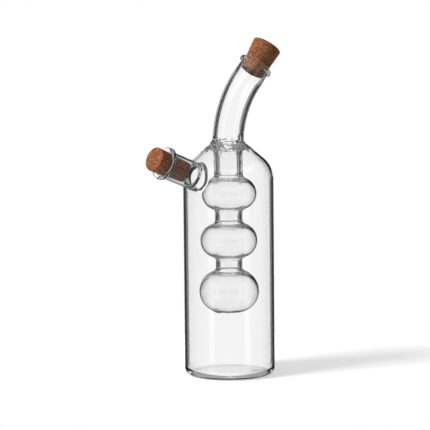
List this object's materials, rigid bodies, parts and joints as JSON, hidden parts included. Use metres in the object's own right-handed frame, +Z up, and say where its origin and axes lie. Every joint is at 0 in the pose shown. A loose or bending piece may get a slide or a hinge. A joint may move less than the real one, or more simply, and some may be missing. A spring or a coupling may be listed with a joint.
{
  "type": "oil bottle",
  "caption": "Clear glass bottle for oil and vinegar: straight body, bulbs hanging inside, curved corked neck and a corked side spout.",
  "frame": {"origin": "middle of the flat base", "axes": "+Z up, -X towards the side spout; the neck leans mostly towards +X"},
  "size_m": [0.1111, 0.065, 0.2426],
  "materials": {
    "clear_glass": "clear colourless borosilicate glass, fire-polished",
    "cork": "pressed cork granules, dry and matt"
  },
  "bodies": {
    "root": {"glass_bottle": "clear_glass", "neck_cork": "cork", "spout_cork": "cork"}
  },
  "joints": []
}
